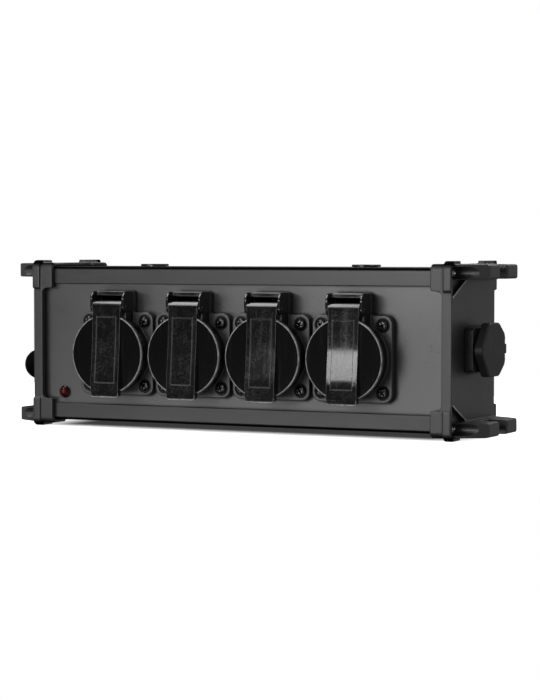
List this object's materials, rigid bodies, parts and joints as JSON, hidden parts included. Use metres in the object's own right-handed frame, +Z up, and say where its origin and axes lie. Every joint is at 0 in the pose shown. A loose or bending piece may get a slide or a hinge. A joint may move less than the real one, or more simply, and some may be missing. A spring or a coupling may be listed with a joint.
{
  "type": "power splitter box",
  "caption": "Stage power distribution box: a long aluminium channel body between moulded end caps, with lidded safety sockets and capped mains connectors.",
  "frame": {"origin": "on the floor under the middle of the box, at the underside of the corner straps", "axes": "+X along the box towards the outlet end, +Y to the rear, +Z up; the sockets face -Y"},
  "size_m": [0.3122, 0.0886, 0.102],
  "materials": {
    "channel_coat": "dark grey anodised, fine satin grain",
    "panel_coat": "dark grey powder coat, satin",
    "cap_plastic": "moulded, fine spark texture",
    "socket_plastic": "satin moulded",
    "lid_plastic": "gloss moulded",
    "gasket_rubber": "matt",
    "connector_plastic": "satin moulded",
    "cover_rubber": "satin",
    "blackened_steel": "black oxide, oiled",
    "pilot_red": "tinted clear lens",
    "terminal_grey": "moulded",
    "cable_sheath": "matt"
  },
  "bodies": {
    "housing": {"top_shell": "channel_coat", "bottom_shell": "channel_coat", "front_panel": "panel_coat", "rear_panel": "panel_coat", "end_cap_left": "cap_plastic", "end_cap_right": "cap_plastic", "outlet_connector": "connector_plastic", "inlet_connector": "connector_plastic", "breaker_body": "connector_plastic", "breaker_collar": "connector_plastic", "pilot_lamp_bezel": "blackened_steel", "pilot_lamp_lens": "pilot_red", "rigging_insert_left": "blackened_steel", "rigging_insert_right": "blackened_steel", "terminal_block": "terminal_grey", "through_loom": "cable_sheath", "socket_1_body": "socket_plastic", "socket_1_gasket": "gasket_rubber", "socket_1_hinge_pin": "blackened_steel", "socket_1_screw_1": "blackened_steel", "socket_1_screw_2": "blackened_steel", "socket_1_screw_3": "blackened_steel", "socket_1_screw_4": "blackened_steel", "socket_2_body": "socket_plastic", "socket_2_gasket": "gasket_rubber", "socket_2_hinge_pin": "blackened_steel", "socket_2_screw_1": "blackened_steel", "socket_2_screw_2": "blackened_steel", "socket_2_screw_3": "blackened_steel", "socket_2_screw_4": "blackened_steel", "socket_3_body": "socket_plastic", "socket_3_gasket": "gasket_rubber", "socket_3_hinge_pin": "blackened_steel", "socket_3_screw_1": "blackened_steel", "socket_3_screw_2": "blackened_steel", "socket_3_screw_3": "blackened_steel", "socket_3_screw_4": "blackened_steel", "socket_4_body": "socket_plastic", "socket_4_gasket": "gasket_rubber", "socket_4_hinge_pin": "blackened_steel", "socket_4_screw_1": "blackened_steel", "socket_4_screw_2": "blackened_steel", "socket_4_screw_3": "blackened_steel", "socket_4_screw_4": "blackened_steel", "end_cap_left_screw_1": "blackened_steel", "end_cap_left_screw_2": "blackened_steel", "end_cap_left_screw_3": "blackened_steel", "end_cap_left_screw_4": "blackened_steel", "end_cap_right_screw_1": "blackened_steel", "end_cap_right_screw_2": "blackened_steel", "end_cap_right_screw_3": "blackened_steel", "end_cap_right_screw_4": "blackened_steel"},
    "lid_1": {"socket_1_lid": "lid_plastic"},
    "lid_2": {"socket_2_lid": "lid_plastic"},
    "lid_3": {"socket_3_lid": "lid_plastic"},
    "lid_4": {"socket_4_lid": "lid_plastic"},
    "outlet_cover": {"outlet_cap": "cover_rubber"},
    "inlet_cover": {"inlet_cap": "cover_rubber"},
    "button": {"reset_button": "cover_rubber"}
  },
  "joints": [
    {"name": "socket_1_lid_hinge", "type": "hinge", "parent": "housing", "child": "lid_1", "pos_m": [-0.07896, -0.03745, 0.07416], "axis": [-1, 0, 0], "range_deg": [0, 115], "stiffness_Nm_per_rad": 0.004, "springref_deg": -20.05},
    {"name": "socket_2_lid_hinge", "type": "hinge", "parent": "housing", "child": "lid_2", "pos_m": [-0.02707, -0.03745, 0.07416], "axis": [-1, 0, 0], "range_deg": [0, 115], "stiffness_Nm_per_rad": 0.004, "springref_deg": -20.05},
    {"name": "socket_3_lid_hinge", "type": "hinge", "parent": "housing", "child": "lid_3", "pos_m": [0.02482, -0.03745, 0.07416], "axis": [-1, 0, 0], "range_deg": [0, 115], "stiffness_Nm_per_rad": 0.004, "springref_deg": -20.05},
    {"name": "socket_4_lid_hinge", "type": "hinge", "parent": "housing", "child": "lid_4", "pos_m": [0.0767, -0.03745, 0.07416], "axis": [-1, 0, 0], "range_deg": [0, 115], "stiffness_Nm_per_rad": 0.004, "springref_deg": -20.05},
    {"name": "outlet_cap_hinge", "type": "hinge", "parent": "housing", "child": "outlet_cover", "pos_m": [0.1473, 0.02495, 0.051], "axis": [0, 0, 1], "range_deg": [0, 150]},
    {"name": "inlet_cap_hinge", "type": "hinge", "parent": "housing", "child": "inlet_cover", "pos_m": [-0.1473, 0.03805, 0.051], "axis": [0, 0, -1], "range_deg": [0, 150]},
    {"name": "reset_button_press", "type": "slide", "parent": "housing", "child": "button", "axis": [1, 0, 0], "range_m": [0, 0.002], "stiffness_N_per_m": 400, "springref_m": -0.002}
  ]
}
